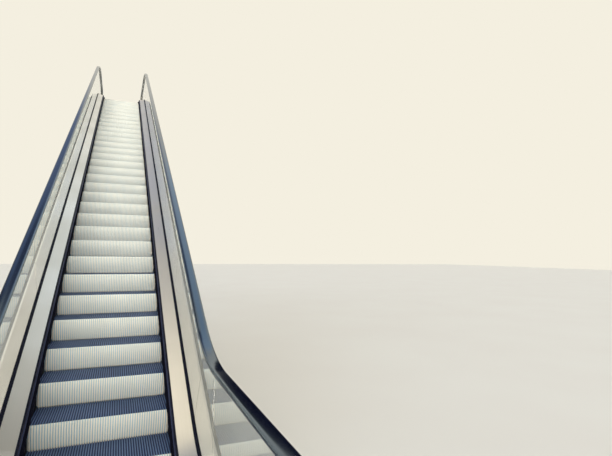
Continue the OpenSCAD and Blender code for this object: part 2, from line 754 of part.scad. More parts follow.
lower_base_pan();
lower_floor_plates();
lower_comb_plate();
lower_combs();
steps_lower();
steps_incline_a();
steps_incline_b();
steps_incline_c();
steps_upper();
upper_combs();
upper_comb_plate();
upper_floor_plates();
skirt_left();
skirt_right();
brush_holder_left();
brush_holder_right();
skirt_brush_left();
skirt_brush_right();
inner_deck_left();
inner_deck_right();
glass_clamp_left();
glass_clamp_right();
glass_seal_left();
glass_seal_right();
glass_left();
glass_right();
handrail_guide_left();
handrail_guide_right();
handrail_left();
handrail_right();
newel_bases_lower();
newel_bases_upper();
handrail_inlets();
outer_deck_left();
outer_deck_right();
side_cladding_left();
side_cladding_right();
soffit();
truss_left();
truss_right();
truss_beams();
step_tracks();
upper_end_wall();
upper_bearing();
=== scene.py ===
# Glass-sided public escalator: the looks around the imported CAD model, in metres
import math

import bmesh
import bpy
from mathutils import Matrix, Vector


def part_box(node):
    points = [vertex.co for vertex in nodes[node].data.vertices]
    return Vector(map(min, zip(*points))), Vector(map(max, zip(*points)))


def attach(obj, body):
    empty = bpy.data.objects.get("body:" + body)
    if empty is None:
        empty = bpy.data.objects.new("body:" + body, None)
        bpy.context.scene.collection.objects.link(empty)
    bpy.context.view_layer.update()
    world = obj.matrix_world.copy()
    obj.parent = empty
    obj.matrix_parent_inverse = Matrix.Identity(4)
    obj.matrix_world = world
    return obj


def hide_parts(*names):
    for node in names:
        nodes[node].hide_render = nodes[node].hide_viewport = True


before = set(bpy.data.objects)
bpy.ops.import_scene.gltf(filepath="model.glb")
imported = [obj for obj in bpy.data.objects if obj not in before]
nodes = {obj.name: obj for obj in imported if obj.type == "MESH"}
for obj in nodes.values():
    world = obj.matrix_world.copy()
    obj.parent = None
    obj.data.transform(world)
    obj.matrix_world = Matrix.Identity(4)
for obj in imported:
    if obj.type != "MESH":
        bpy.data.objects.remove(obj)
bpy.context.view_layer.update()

# The path of the steps, as in the CAD source
path = {"incline": math.radians(30), "bend": 1.5, "straight": 11.7962, "bendStart": 2.6229018,
        "lowTread": 0.060, "pitch": 0.405, "phase": 0.270, "firstStep": -5, "lastStep": 32}


def pathPoint(s):
    # distance along the treads, from the start of the lower bend, to (y, z)
    turn, r = path["incline"], path["bend"]
    arc = r * turn
    yB, zB = path["bendStart"] + r * math.sin(turn), path["lowTread"] + r * (1 - math.cos(turn))
    yC, zC = yB + path["straight"] * math.cos(turn), zB + path["straight"] * math.sin(turn)
    yD, zD = yC + r * math.sin(turn), zC + r * (1 - math.cos(turn))
    if s < 0:
        return path["bendStart"] + s, path["lowTread"]
    if s < arc:
        return path["bendStart"] + r * math.sin(s / r), path["lowTread"] + r * (1 - math.cos(s / r))
    if s < arc + path["straight"]:
        run = s - arc
        return yB + run * math.cos(turn), zB + run * math.sin(turn)
    left = 2 * arc + path["straight"] - s
    if left > 0:
        return yD - r * math.sin(left / r), zD - r * (1 - math.cos(left / r))
    return yD - left, zD


# Small helpers for nodes, primitives and edit mode
tolerance = 0.0001  # a point this near a place, in metres, counts as on it
squareOn = 0.9  # a face looks along an axis when its normal has more than this of it
smoothBelow = math.radians(30)  # edges that turn more than this stay sharp


def linearColour(hexCode):
    parts = [int(hexCode[i:i + 2], 16) / 255 for i in (1, 3, 5)]
    linear = [c / 12.92 if c <= 0.04045 else ((c + 0.055) / 1.055) ** 2.4 for c in parts]
    return (*linear, 1.0)


def feedNode(tree, node, feeds):
    # each input gets a link from a node or socket, or a plain value
    for name, value in feeds.items():
        source = value.outputs[0] if isinstance(value, bpy.types.Node) else value
        if isinstance(source, bpy.types.NodeSocket):
            tree.links.new(source, node.inputs[name])
        else:
            node.inputs[name].default_value = source


def addNode(tree, kind, feeds=None, stops=(), **settings):
    # one node with its settings, what feeds it, and a ramp's stops as hex colours or plain levels
    node = tree.nodes.new(kind)
    for name, value in settings.items():
        setattr(node, name, value)
    feedNode(tree, node, feeds or {})
    if stops:
        marks = node.color_ramp.elements
        marks.remove(marks[1])
        marks[0].position = stops[0][0]
        for at, _ in stops[1:]:
            marks.new(at)
        for mark, (at, tone) in zip(marks, stops):
            mark.color = linearColour(tone) if isinstance(tone, str) else (tone, tone, tone, 1)
    return node


def startMaterial(name, **surface):
    # a shader with its even settings, and the coordinates that its patterns read
    material = bpy.data.materials.new(name)
    material.use_nodes = True
    tree = material.node_tree
    shader = tree.nodes["Principled BSDF"]
    for key, value in surface.items():
        shader.inputs[key.replace("_", " ")].default_value = value
    place = addNode(tree, "ShaderNodeTexCoord").outputs["Object"]
    return material, tree, shader, place


def deselectAll():
    for o in bpy.context.selected_objects:
        o.select_set(False)
    bpy.context.view_layer.objects.active = None


def applyPlace(piece):
    deselectAll()
    piece.select_set(True)
    bpy.context.view_layer.objects.active = piece
    bpy.ops.object.transform_apply(location=True, rotation=True, scale=True)


def startPiece(primitive, name, dims=(1, 1, 1), **settings):
    # a primitive at its place, stretched to its size, with both applied
    deselectAll()
    primitive(**settings)
    piece = bpy.context.object
    piece.name = piece.data.name = name
    piece.scale = dims
    applyPlace(piece)
    return piece


def startBlock(name, dims, middle):
    return startPiece(bpy.ops.mesh.primitive_cube_add, name, dims, size=1, location=middle)


def editParts(piece, chosen, mode="FACE"):
    # edit mode with only the faces, edges or vertices that the test picks
    bpy.context.view_layer.objects.active = piece
    bpy.ops.object.mode_set(mode="EDIT")
    bpy.context.tool_settings.mesh_select_mode = (mode == "VERT", mode == "EDGE", mode == "FACE")
    bpy.ops.mesh.select_all(action="DESELECT")
    mesh = bmesh.from_edit_mesh(piece.data)
    for part in {"VERT": mesh.verts, "EDGE": mesh.edges, "FACE": mesh.faces}[mode]:
        if chosen(part):
            part.select_set(True)
    mesh.select_flush_mode()
    bmesh.update_edit_mesh(piece.data)


def endEdit():
    bpy.ops.object.mode_set(mode="OBJECT")


def looksUp(face):
    return face.normal.z > squareOn


def looksDown(face):
    return face.normal.z < -squareOn


def looksSideways(face):
    return abs(face.normal.x) > squareOn


def nudgePoints(piece, chosen, shift):
    editParts(piece, chosen, "VERT")
    bpy.ops.transform.translate(value=shift)
    endEdit()


def extrudeBy(*shift):
    bpy.ops.mesh.extrude_region_move(TRANSFORM_OT_translate={"value": shift})


def addModifier(piece, kind, **settings):
    bpy.context.view_layer.objects.active = piece
    modifier = piece.modifiers.new(kind.title(), kind)
    for key, value in settings.items():
        setattr(modifier, key, value)
    bpy.ops.object.modifier_apply(modifier=modifier.name)


def repeatPiece(piece, count, shift):
    addModifier(piece, "ARRAY", count=count, use_relative_offset=False,
                use_constant_offset=True, constant_offset_displace=shift)


def movePiece(piece, shift):
    piece.data.transform(Matrix.Translation(shift))


def copyPiece(piece, name, shift):
    # a copy with its own mesh, moved in its mesh
    twin = piece.copy()
    twin.data = piece.data.copy()
    twin.name = name
    bpy.context.scene.collection.objects.link(twin)
    movePiece(twin, shift)
    return twin


def joinPieces(pieces, name):
    deselectAll()
    for piece in pieces:
        piece.select_set(True)
    bpy.context.view_layer.objects.active = pieces[0]
    bpy.ops.object.join()
    pieces[0].name = pieces[0].data.name = name
    return pieces[0]


def finishPiece(piece, slotName, *replaced):
    applyPlace(piece)
    bpy.ops.object.shade_smooth_by_angle(angle=smoothBelow)
    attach(piece, "root")
    if replaced:
        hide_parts(*replaced)


# The photograph's view, the pale floor and the studio light
print("stage")
photoView = {"place": (0.063, -0.131, 1.659), "turn": (94.32, -0.578, -22.124),
             "lens": 25.52, "sensor": 36, "shift": (0.0190, -0.0106), "farthest": 200}
bpy.ops.object.camera_add(location=photoView["place"],
                          rotation=[math.radians(a) for a in photoView["turn"]])
camera = bpy.context.object
camera.data.lens, camera.data.sensor_width = photoView["lens"], photoView["sensor"]
camera.data.shift_x, camera.data.shift_y = photoView["shift"]
camera.data.clip_end = photoView["farthest"]
bpy.context.scene.camera = camera
bpy.context.scene.view_settings.view_transform = "Standard"

studio = {"floor": "#f1ecdf", "floorPatch": "#efe9dc", "floorPatchSize": 1.8, "floorSize": 120,
          "floorMiddle": (0, 8, 0), "backdrop": "#f4efe0", "sky": "#eaeff4", "skyLevel": 0.78,
          # panels that only gloss sees: direction, full within, gone beyond (degrees), colour
          "panels": [((0.24, 0.48, 0.84), 12, 17, "#e0f1fd"),
                     ((-0.47, 0.46, 0.75), 13, 19, "#3c4c64"),
                     ((-0.34, 0.52, 0.78), 9, 16, "#14182c"),
                     ((0.24, -0.05, 0.97), 17.5, 20, "#0c0d14"),
                     ((0.27, 0.89, 0.36), 7, 10, "#0a0e24"),
                     ((0.42, 0.87, 0.27), 10, 14, "#0a0e24"),
                     ((-0.20, 0.62, 0.76), 9, 15, "#8494b4"),
                     ((-0.09, 0.46, 0.88), 4, 9, "#525c74"),
                     ((0.58, 0.38, 0.72), 15, 20, "#fffdf2"),
                     ((-0.26, 0.20, 0.95), 9, 14, "#fffbe8")],
          # lamps: tilt, roll and heading, spread (degrees), strength, colour
          "lights": [("studioKey", (8, 0, -6), 34, 3.2, "#fff4e6"),
                     ("studioFill", (35, 0, -75), 50, 0.5, "#dfeaff")]}
floor = startPiece(bpy.ops.mesh.primitive_plane_add, "studioFloor", size=studio["floorSize"],
                   location=studio["floorMiddle"])
floorPaint, tree, shader, place = startMaterial("mattFloorPaint", Roughness=0.8)
patches = addNode(tree, "ShaderNodeTexNoise",
                  {"Vector": place, "Scale": 1 / studio["floorPatchSize"], "Detail": 2.0})
paint = addNode(tree, "ShaderNodeValToRGB", {"Fac": patches},
                [(0.3, studio["floor"]), (0.7, studio["floorPatch"])])
feedNode(tree, shader, {"Base Color": paint})
floor.data.materials.append(floorPaint)

# Camera and glass see the cream backdrop. Gloss sees it with light and dark panels in it, which
# give the decks and the handrails the run of tones that polished steel and rubber show
world = bpy.data.worlds.new("studioSky")
bpy.context.scene.world = world
world.use_nodes = True
tree = world.node_tree
tree.nodes.clear()
ray = addNode(tree, "ShaderNodeLightPath")
direction = addNode(tree, "ShaderNodeTexCoord").outputs["Generated"]
mirrored = linearColour(studio["backdrop"])
for aim, inner, outer, tone in studio["panels"]:
    near = addNode(tree, "ShaderNodeVectorMath", {0: direction, 1: Vector(aim).normalized()},
                   operation="DOT_PRODUCT").outputs["Value"]
    share = addNode(tree, "ShaderNodeMapRange",
                    {"Value": near, "From Min": math.cos(math.radians(outer)),
                     "From Max": math.cos(math.radians(inner))}, interpolation_type="SMOOTHSTEP")
    mirrored = addNode(tree, "ShaderNodeMix", {0: share, 6: mirrored, 7: linearColour(tone)},
                       data_type="RGBA").outputs[2]
lit = addNode(tree, "ShaderNodeBackground",
              {"Color": linearColour(studio["sky"]), "Strength": studio["skyLevel"]})
glossy = addNode(tree, "ShaderNodeBackground", {"Color": mirrored})
seen = addNode(tree, "ShaderNodeBackground", {"Color": linearColour(studio["backdrop"])})
anySeen = addNode(tree, "ShaderNodeMath", {0: ray.outputs["Is Camera Ray"],
                  1: ray.outputs["Is Transmission Ray"]}, operation="MAXIMUM")
mixGloss = addNode(tree, "ShaderNodeMixShader",
                   {0: ray.outputs["Is Glossy Ray"], 1: lit, 2: glossy})
mixSeen = addNode(tree, "ShaderNodeMixShader", {0: anySeen, 1: mixGloss, 2: seen})
addNode(tree, "ShaderNodeOutputWorld", {"Surface": mixSeen})

for name, (tilt, roll, heading), spread, strength, tone in studio["lights"]:
    bpy.ops.object.light_add(type="SUN",
                             rotation=[math.radians(a) for a in (90 - tilt, roll, heading)])
    lamp = bpy.context.object
    lamp.name = name
    lamp.data.angle, lamp.data.energy = math.radians(spread), strength
    lamp.data.color = linearColour(tone)[:3]
    lamp.visible_transmission = False  # no bright disc seen through the glass

# Materials: grain in millimetres, broad patches as so many to a metre, colours as sRGB
print("materials")
patchesPerMetre = {"handled": 1.4, "worn": 2.6, "tint": 1.2}
alongMachine, alongIncline = (3.0, 900.0, 900.0), (900.0, 900.0, 12.0)
castGrain = 2.4


def brushedSheet(name, light, dark, rough, streak=alongMachine, turn=0.0, metal=0.7):
    # stainless or aluminium sheet with a satin belt finish: long soft streaks under dull handled
    # patches. The real scratches are 0.1 mm wide, and 3 mm or more here so that they show
    material, tree, shader, place = startMaterial(name, Metallic=metal)
    along = addNode(tree, "ShaderNodeMapping", {"Vector": place, "Rotation": (turn, 0, 0),
                    "Scale": [size / 1000 for size in streak]}, vector_type="TEXTURE")
    streaks = addNode(tree, "ShaderNodeTexNoise",
                      {"Vector": along, "Scale": 1.0, "Detail": 3.0, "Roughness": 0.6})
    handled = addNode(tree, "ShaderNodeTexNoise",
                      {"Vector": place, "Scale": patchesPerMetre["handled"], "Detail": 3.0})
    tone = addNode(tree, "ShaderNodeMix", {0: 0.7, 2: streaks, 3: handled})
    colour = addNode(tree, "ShaderNodeValToRGB", {"Fac": tone}, [(0.36, dark), (0.62, light)])
    dullness = addNode(tree, "ShaderNodeValToRGB", {"Fac": tone},
                       [(0.3, rough + 0.06), (0.7, rough - 0.04)])
    relief = addNode(tree, "ShaderNodeBump",
                     {"Height": streaks, "Distance": 0.0001, "Strength": 0.5})
    feedNode(tree, shader, {"Base Color": colour, "Roughness": dullness, "Normal": relief})
    return material


def castAluminium(name, light, dark, rough, metal, side=None):
    # pressure-cast metal: a pitted skin, worn brighter in patches. On the ribbed castings the
    # walls of the grooves, which face sideways, get a colour of their own by that facing: painted
    # groove shade
    material, tree, shader, place = startMaterial(name, Metallic=metal, Roughness=rough)
    wear = addNode(tree, "ShaderNodeTexNoise", {"Vector": place, "Scale": patchesPerMetre["worn"],
                   "Detail": 5.0, "Roughness": 0.6})
    colour = addNode(tree, "ShaderNodeValToRGB", {"Fac": wear}, [(0.3, dark), (0.68, light)])
    # painted groove shade: faces that look sideways, the groove walls, are mixed to the side colour
    if side:
        facing = addNode(tree, "ShaderNodeSeparateXYZ",
                         {0: addNode(tree, "ShaderNodeTexCoord").outputs["Normal"]})
        wall = addNode(tree, "ShaderNodeMath", {0: facing.outputs["X"]}, operation="ABSOLUTE")
        grooveWallShade = addNode(tree, "ShaderNodeMapRange",
                         {"Value": wall, "From Min": 0.45, "From Max": 0.75})
        colour = addNode(tree, "ShaderNodeMix", {0: grooveWallShade, 6: colour, 7: linearColour(side)},
                         data_type="RGBA").outputs[2]
    skin = addNode(tree, "ShaderNodeTexNoise",
                   {"Vector": place, "Scale": 1000 / castGrain, "Detail": 2.0})
    relief = addNode(tree, "ShaderNodeBump", {"Height": skin, "Distance": 0.0002, "Strength": 0.5})
    feedNode(tree, shader, {"Base Color": colour, "Normal": relief})
    return material


def mouldedSkin(name, light, dark, rough, mottle, **gloss):
    # moulded rubber, nylon or rolled-on coating: even, with faint mottling in colour and relief
    material, tree, shader, place = startMaterial(name, Roughness=rough, **gloss)
    cloud = addNode(tree, "ShaderNodeTexNoise",
                    {"Vector": place, "Scale": 1000 / mottle, "Detail": 4.0, "Roughness": 0.6})
    colour = addNode(tree, "ShaderNodeValToRGB", {"Fac": cloud}, [(0.3, dark), (0.7, light)])
    relief = addNode(tree, "ShaderNodeBump", {"Height": cloud, "Distance": 0.0003, "Strength": 0.3})
    feedNode(tree, shader, {"Base Color": colour, "Normal": relief})
    return material


def floatGlass():
    # toughened float glass: clear with a blue-green cast, polished faces
    material, tree, shader, place = startMaterial(
        "toughenedFloatGlass", Roughness=0.0, IOR=1.52, Transmission_Weight=1.0)
    haze = addNode(tree, "ShaderNodeTexNoise",
                   {"Vector": place, "Scale": patchesPerMetre["tint"], "Detail": 2.0})
    feedNode(tree, shader, {"Base Color": addNode(
        tree, "ShaderNodeValToRGB", {"Fac": haze}, [(0.3, "#f2f7f6"), (0.7, "#f6faf9")])})
    return material


looks = {
    # belt-finished sheet: the satin of the decks and the rail guides is the smoothest
    "deckSteel": brushedSheet("satinStainlessDecking", "#faf3e8", "#f0e9dc", 0.30, metal=0.87),
    "claddingSteel": brushedSheet("satinStainlessCladding", "#dad5c9", "#cec9bd", 0.40,
                                  alongIncline, path["incline"]),
    "newelSteel": brushedSheet("satinStainlessNewel", "#dcd6c8", "#c8c3b6", 0.34),
    "guideSteel": brushedSheet("stainlessRailGuide", "#cfcfc8", "#b9bab6", 0.30),
    "plateAluminium": brushedSheet("ribbedAluminiumFloorPlate", "#c9c5ba", "#b1aea5", 0.38),
    # the brush holder is bare aluminium painted dark blue-grey so that its top does not look lit:
    # painted shade
    "holderShadedAluminium": brushedSheet("shadedAluminiumHolder", "#434a68", "#353b58", 0.45),
    # die-cast steps and combs. The riser cleats are bright, with painted groove shade on their
    # sideways walls and on the groove floors behind them. The treads of the same casting are
    # painted darker and bluer, as painted shade and painted reflection of a dark blue sky, deepest
    # in the grooves and on the groove walls
    "riserAluminium": castAluminium("castAluminiumRiser", "#ebe8d9", "#e0dfd2", 0.5, 0.1,
                                    side="#b3cfda"),
    "riserGrooveShade": castAluminium("castAluminiumRiserGroovePaintedShade", "#a9c9d6", "#93b3c2", 0.6, 0.1),
    "treadGrooveShade": castAluminium("castAluminiumTreadGroovePaintedShade", "#203463", "#182a54", 0.6, 0.2),
    "treadShadedAluminium": castAluminium("castAluminiumTread", "#7892bc", "#627ea8", 0.45, 0.3,
                                    side="#192c58"),
    "cheekAluminium": castAluminium("castAluminiumCheek", "#b9b8b2", "#9b9b98", 0.5, 0.7),
    "combAluminium": castAluminium("castAluminiumComb", "#cdc9bd", "#b3b1a9", 0.42, 0.8),
    # extruded and rolled sections: bare metal with little oxide, so more metallic than the castings
    "clampAluminium": castAluminium("extrudedAluminiumClamp", "#a3a5a6", "#87898c", 0.45, 0.9),
    "trackSteel": castAluminium("rolledSteelTrack", "#8d8c88", "#6f6f6c", 0.4, 0.9),
    # sprayed and rolled-on coatings: even, with broad soft mottling
    "structureSteel": mouldedSkin("paintedStructuralSteel", "#6a6e76", "#565a62", 0.55, 120.0),
    "skirtPaint": mouldedSkin("slipCoatedSkirt", "#0d1028", "#080a1e", 0.45, 200.0,
                              Specular_IOR_Level=0.2),
    # drawn nylon and extruded rubber: dark, and nearly without gloss
    "bristleNylon": mouldedSkin("nylonBristle", "#080a1c", "#04050f", 0.85, 2.5,
                                Specular_IOR_Level=0.1),
    "sealRubber": mouldedSkin("extrudedRubberSeal", "#0e1028", "#080a1c", 0.55, 16.0,
                              Specular_IOR_Level=0.2),
    # moulded rubber worn glossy by hands, nearly black with a navy cast. Its pale blue specular
    # tint is a painted reflection of a blue sky
    "railRubber": mouldedSkin("polishedRubberHandrail", "#080b1e", "#04060f", 0.15, 50.0, IOR=1.95,
                              Specular_IOR_Level=0.85, Specular_Tint=linearColour("#acd0f0"),
                              Coat_Weight=0.45, Coat_Roughness=0.08, Coat_IOR=1.6),
    "glass": floatGlass(),
}

# the longest of these beginnings that fits a node's name gives its finish
nodeLooks = {
    "lower_floor_plates": "plateAluminium", "upper_floor_plates": "plateAluminium",
    "lower_comb_plate": "plateAluminium", "upper_comb_plate": "plateAluminium",
    "lower_combs": "combAluminium", "upper_combs": "combAluminium",
    "steps": "riserAluminium", "skirt_brush": "bristleNylon", "skirt": "skirtPaint",
    "brush_holder": "holderShadedAluminium", "inner_deck": "deckSteel", "outer_deck": "deckSteel",
    "glass_clamp": "clampAluminium", "glass_seal": "sealRubber", "glass": "glass",
    "handrail_guide": "guideSteel", "handrail_inlets": "sealRubber", "handrail": "railRubber",
    "newel_bases": "newelSteel", "side_cladding": "claddingSteel", "soffit": "claddingSteel",
    "truss": "structureSteel", "step_tracks": "trackSteel", "lower_base_pan": "structureSteel",
    "upper_end_wall": "structureSteel", "upper_bearing": "structureSteel",
}
for nodeName, node in nodes.items():
    found = max((key for key in nodeLooks if nodeName.startswith(key)), key=len)
    for materialSlot in node.material_slots:
        materialSlot.material = looks[nodeLooks[found]]

# The steps: a thin-skinned casting with cleats on the tread and on the curved riser.
# The cleats stand 18 mm apart, as they count in the photograph
print("steps")
step = {"width": 1.0, "depth": 0.402, "cleats": 56, "treadCleat": 0.0078, "riserCleat": 0.0132,
        "taper": 0.82, "grooveDepth": 0.009, "treadSkin": 0.012, "skinFront": 0.002,
        "riserSkin": 0.008, "riserDrop": 0.205, "backGap": 0.001, "sink": 0.001,
        "noseRound": 0.003, "noseLean": 0.2, "arcSteps": 6, "trayLip": 0.02, "trayDeep": 0.004,
        "cheek": 0.010, "cheekInset": 0.005, "cheekLong": 0.36, "cheekTall": 0.16,
        "cheekMiddle": (0.20, -0.10), "cheekRake": 0.15, "cheekRim": 0.015, "cheekPanel": 0.002,
        "rollerSides": 24, "rollerRadius": 0.038, "rollerWidth": 0.030, "rollerDrop": 0.172,
        "rollerRim": 0.012, "rollerDish": 0.004, "basePanCut": 0.0123,
        # which steps go with which CAD node
        "lowerLast": 2, "upperCount": 6, "inclineParts": 3}
cleatPitch = step["width"] / step["cleats"]


def spinAcross(angle, steps, centre):
    # turns the chosen edges or face round an axis along X
    bpy.ops.mesh.spin(steps=steps, angle=angle, center=centre, axis=(1, 0, 0))


def turnOut(piece):
    editParts(piece, lambda f: True)
    bpy.ops.mesh.normals_make_consistent(inside=False)
    endEdit()


def modelTreadCleat():
    depth, tall = step["depth"] - step["backGap"], step["grooveDepth"] + step["sink"]
    cleat = startBlock("treadCleat", (step["treadCleat"], depth, tall), (0, depth / 2, -tall / 2))
    editParts(cleat, looksUp)
    bpy.ops.transform.resize(value=(step["taper"], 1, 1))
    endEdit()
    editParts(cleat, lambda e: all(v.co.y < tolerance and v.co.z > -tolerance for v in e.verts),
              "EDGE")
    bpy.ops.mesh.bevel(offset=step["noseRound"], segments=2)
    endEdit()
    return cleat


def modelRiserCleat():
    # one end face of the cleat at the nose, spun down the riser
    wide, tall, r = step["riserCleat"], step["grooveDepth"] + step["sink"], step["depth"]
    cleat = startPiece(bpy.ops.mesh.primitive_plane_add, "riserCleat", (wide, tall, 1),
                       size=1, location=(0, tall / 2, 0))
    editParts(cleat, lambda e: all(v.co.y < tolerance for v in e.verts), "EDGE")
    bpy.ops.transform.resize(value=(step["taper"], 1, 1))
    endEdit()
    editParts(cleat, lambda f: True)
    nose = math.asin(step["noseRound"] / r)
    bpy.ops.transform.rotate(value=-nose, orient_axis="X", center_override=(0, r, 0))
    spinAcross(nose - math.asin(step["riserDrop"] / r), step["arcSteps"], (0, r, 0))
    endEdit()
    turnOut(cleat)
    return cleat


def noseTakesGrooveShade(piece, look):
    # what faces forward at the nose takes the riser grooves' colour, their painted groove shade,
    # which is lighter than the tread's painted shade
    piece.data.materials.append(looks[look])
    piece.data.materials.append(looks["riserGrooveShade"])
    for face in piece.data.polygons:
        if face.center.y < step["noseRound"] and face.normal.y < -step["noseLean"]:
            face.material_index = 1


def modelStep():
    half, depth, r = step["width"] / 2, step["depth"], step["depth"]
    tread, riser = modelTreadCleat(), modelRiserCleat()
    movePiece(tread, (-half + cleatPitch / 2, 0, 0))
    movePiece(riser, (-half + cleatPitch, 0, 0))
    repeatPiece(tread, step["cleats"], (cleatPitch, 0, 0))
    repeatPiece(riser, step["cleats"] - 1, (cleatPitch, 0, 0))
    noseTakesGrooveShade(tread, "treadShadedAluminium")
    riser.data.materials.append(looks["riserAluminium"])

    # tread skin, a shallow tray under the cleats
    groove, skin = step["grooveDepth"], step["treadSkin"]
    tray = startBlock("treadSkin", (2 * half, depth - 2 * step["skinFront"], skin),
                      (0, depth / 2, -groove - skin / 2))
    editParts(tray, looksDown)
    bpy.ops.mesh.inset(thickness=step["trayLip"], depth=0)
    extrudeBy(0, 0, step["trayDeep"])
    endEdit()
    # the tread's groove floors are painted dark navy: painted shade and painted reflection. The
    # nose front takes the riser's painted groove shade
    noseTakesGrooveShade(tray, "treadGrooveShade")

    # riser skin, spun behind its cleats
    shell = startPiece(bpy.ops.mesh.primitive_plane_add, "riserSkin",
                       (2 * half, step["riserSkin"], 1),
                       size=1, location=(0, groove + step["riserSkin"] / 2, 0))
    editParts(shell, lambda f: True)
    start = math.asin(groove / r)
    bpy.ops.transform.rotate(value=-start, orient_axis="X", center_override=(0, r, 0))
    spinAcross(start - math.asin(step["riserDrop"] / r), step["arcSteps"], (0, r, 0))
    endEdit()
    turnOut(shell)
    # the groove floors behind the riser cleats take painted groove shade
    shell.data.materials.append(looks["riserGrooveShade"])

    # cheek plate and roller on each side
    cheekX, (cheekY, cheekZ) = half - step["cheekInset"] - step["cheek"] / 2, step["cheekMiddle"]
    rollerX = cheekX - step["cheek"] / 2 - step["rollerWidth"] / 2
    parts = [tread, riser, tray, shell]
    for side in (-1, 1):
        cheek = startBlock("cheek", (step["cheek"], step["cheekLong"], step["cheekTall"]),
                           (side * cheekX, cheekY, cheekZ))
        nudgePoints(cheek, lambda v: v.co.y > cheekY and v.co.z < cheekZ,
                    (0, -step["cheekRake"], 0))
        editParts(cheek, looksSideways)
        bpy.ops.mesh.inset(thickness=step["cheekRim"], depth=-step["cheekPanel"])
        endEdit()
        cheek.data.materials.append(looks["cheekAluminium"])
        roller = startPiece(bpy.ops.mesh.primitive_cylinder_add, "roller",
                            vertices=step["rollerSides"], radius=step["rollerRadius"],
                            depth=step["rollerWidth"], rotation=(0, math.pi / 2, 0),
                            location=(side * rollerX, depth / 2, -step["rollerDrop"]))
        editParts(roller, looksSideways)
        bpy.ops.mesh.inset(thickness=step["rollerRim"], depth=-step["rollerDish"])
        endEdit()
        roller.data.materials.append(looks["sealRubber"])
        parts += [cheek, roller]
    return joinPieces(parts, "oneStep")


oneStep = modelStep()
print("one step:", len(oneStep.data.polygons), "faces")
inclineCount = path["lastStep"] - step["upperCount"] - step["lowerLast"]
ends = [step["lowerLast"] + round(n * inclineCount / step["inclineParts"])
        for n in range(step["inclineParts"] + 1)]
stepGroups = {"steps_lower": (path["firstStep"], ends[0]),
              "steps_incline_a": (ends[0] + 1, ends[1]),
              "steps_incline_b": (ends[1] + 1, ends[2]),
              "steps_incline_c": (ends[2] + 1, ends[3]),
              "steps_upper": (ends[3] + 1, path["lastStep"])}
for nodeName, (low, high) in stepGroups.items():
    copies = []
    for k in range(low, high + 1):
        y, z = pathPoint(path["bend"] * path["incline"] + path["phase"] + k * path["pitch"])
        copies.append(copyPiece(oneStep, "step%d" % k, (0, y, z)))
    band = joinPieces(copies, "cleated_" + nodeName)
    if nodeName == "steps_lower":
        # the base pan leaves no room for the undersides of the landing steps
        editParts(band, lambda f: True)
        bpy.ops.mesh.bisect(plane_co=(0, 0, step["basePanCut"]), plane_no=(0, 0, 1),
                            use_fill=True, clear_inner=True)
        endEdit()
    finishPiece(band, "step", nodeName)
bpy.data.objects.remove(oneStep)

# The combs: five cast segments at each landing, a tooth in every groove of the treads
print("combs")
comb = {"segments": 5, "body": 0.048, "tall": 0.014, "slopeDrop": 0.0021, "edgeBevel": 0.0006,
        "gap": 0.0006, "seat": 0.0003, "halfWidth": 0.5027, "rootBack": 0.010, "length": 0.110,
        "tooth": 0.0052, "tip": 0.0032, "dip": 0.006, "tipTop": 0.002, "tipRake": 0.014,
        "screwSides": 18, "screwRadius": 0.0045, "screwHead": 0.0007, "socket": 0.0022,
        "socketDeep": 0.00112, "screwBack": 0.016, "screwPlaces": (0.2, 0.8)}
teethPerSegment = (step["cleats"] - 1) // comb["segments"]


def modelTooth():
    # a wedge that dips into the groove and thins towards its tip
    rootY, tipY, low = comb["body"] - comb["rootBack"], comb["length"], -comb["dip"]
    rootTop, nearTip = comb["tall"] - comb["slopeDrop"], tipY - tolerance
    tooth = startBlock("tooth", (comb["tooth"], tipY - rootY, rootTop - low),
                       (0, (rootY + tipY) / 2, (rootTop + low) / 2))
    nudgePoints(tooth, lambda v: v.co.y > nearTip and v.co.z > 0, (0, 0, comb["tipTop"] - rootTop))
    editParts(tooth, lambda v: v.co.y > nearTip, "VERT")
    bpy.ops.transform.resize(value=(comb["tip"] / comb["tooth"], 1, 1))
    endEdit()
    nudgePoints(tooth, lambda v: v.co.y > nearTip and v.co.z < 0, (0, -comb["tipRake"], 0))
    nudgePoints(tooth, lambda v: v.co.y < rootY + tolerance and v.co.z < 0,
                (0, comb["rootBack"], 0))
    return tooth


def modelScrew(x, y):
    # countersunk screw with a round socket
    screw = startPiece(bpy.ops.mesh.primitive_cylinder_add, "combScrew",
                       vertices=comb["screwSides"], radius=comb["screwRadius"],
                       depth=comb["screwHead"] * 2, location=(x, y, comb["tall"]))
    editParts(screw, looksUp)
    bpy.ops.mesh.inset(thickness=comb["screwRadius"] - comb["socket"], depth=0)
    extrudeBy(0, 0, -comb["socketDeep"])
    endEdit()
    screw.data.materials.append(looks["cheekAluminium"])
    return screw


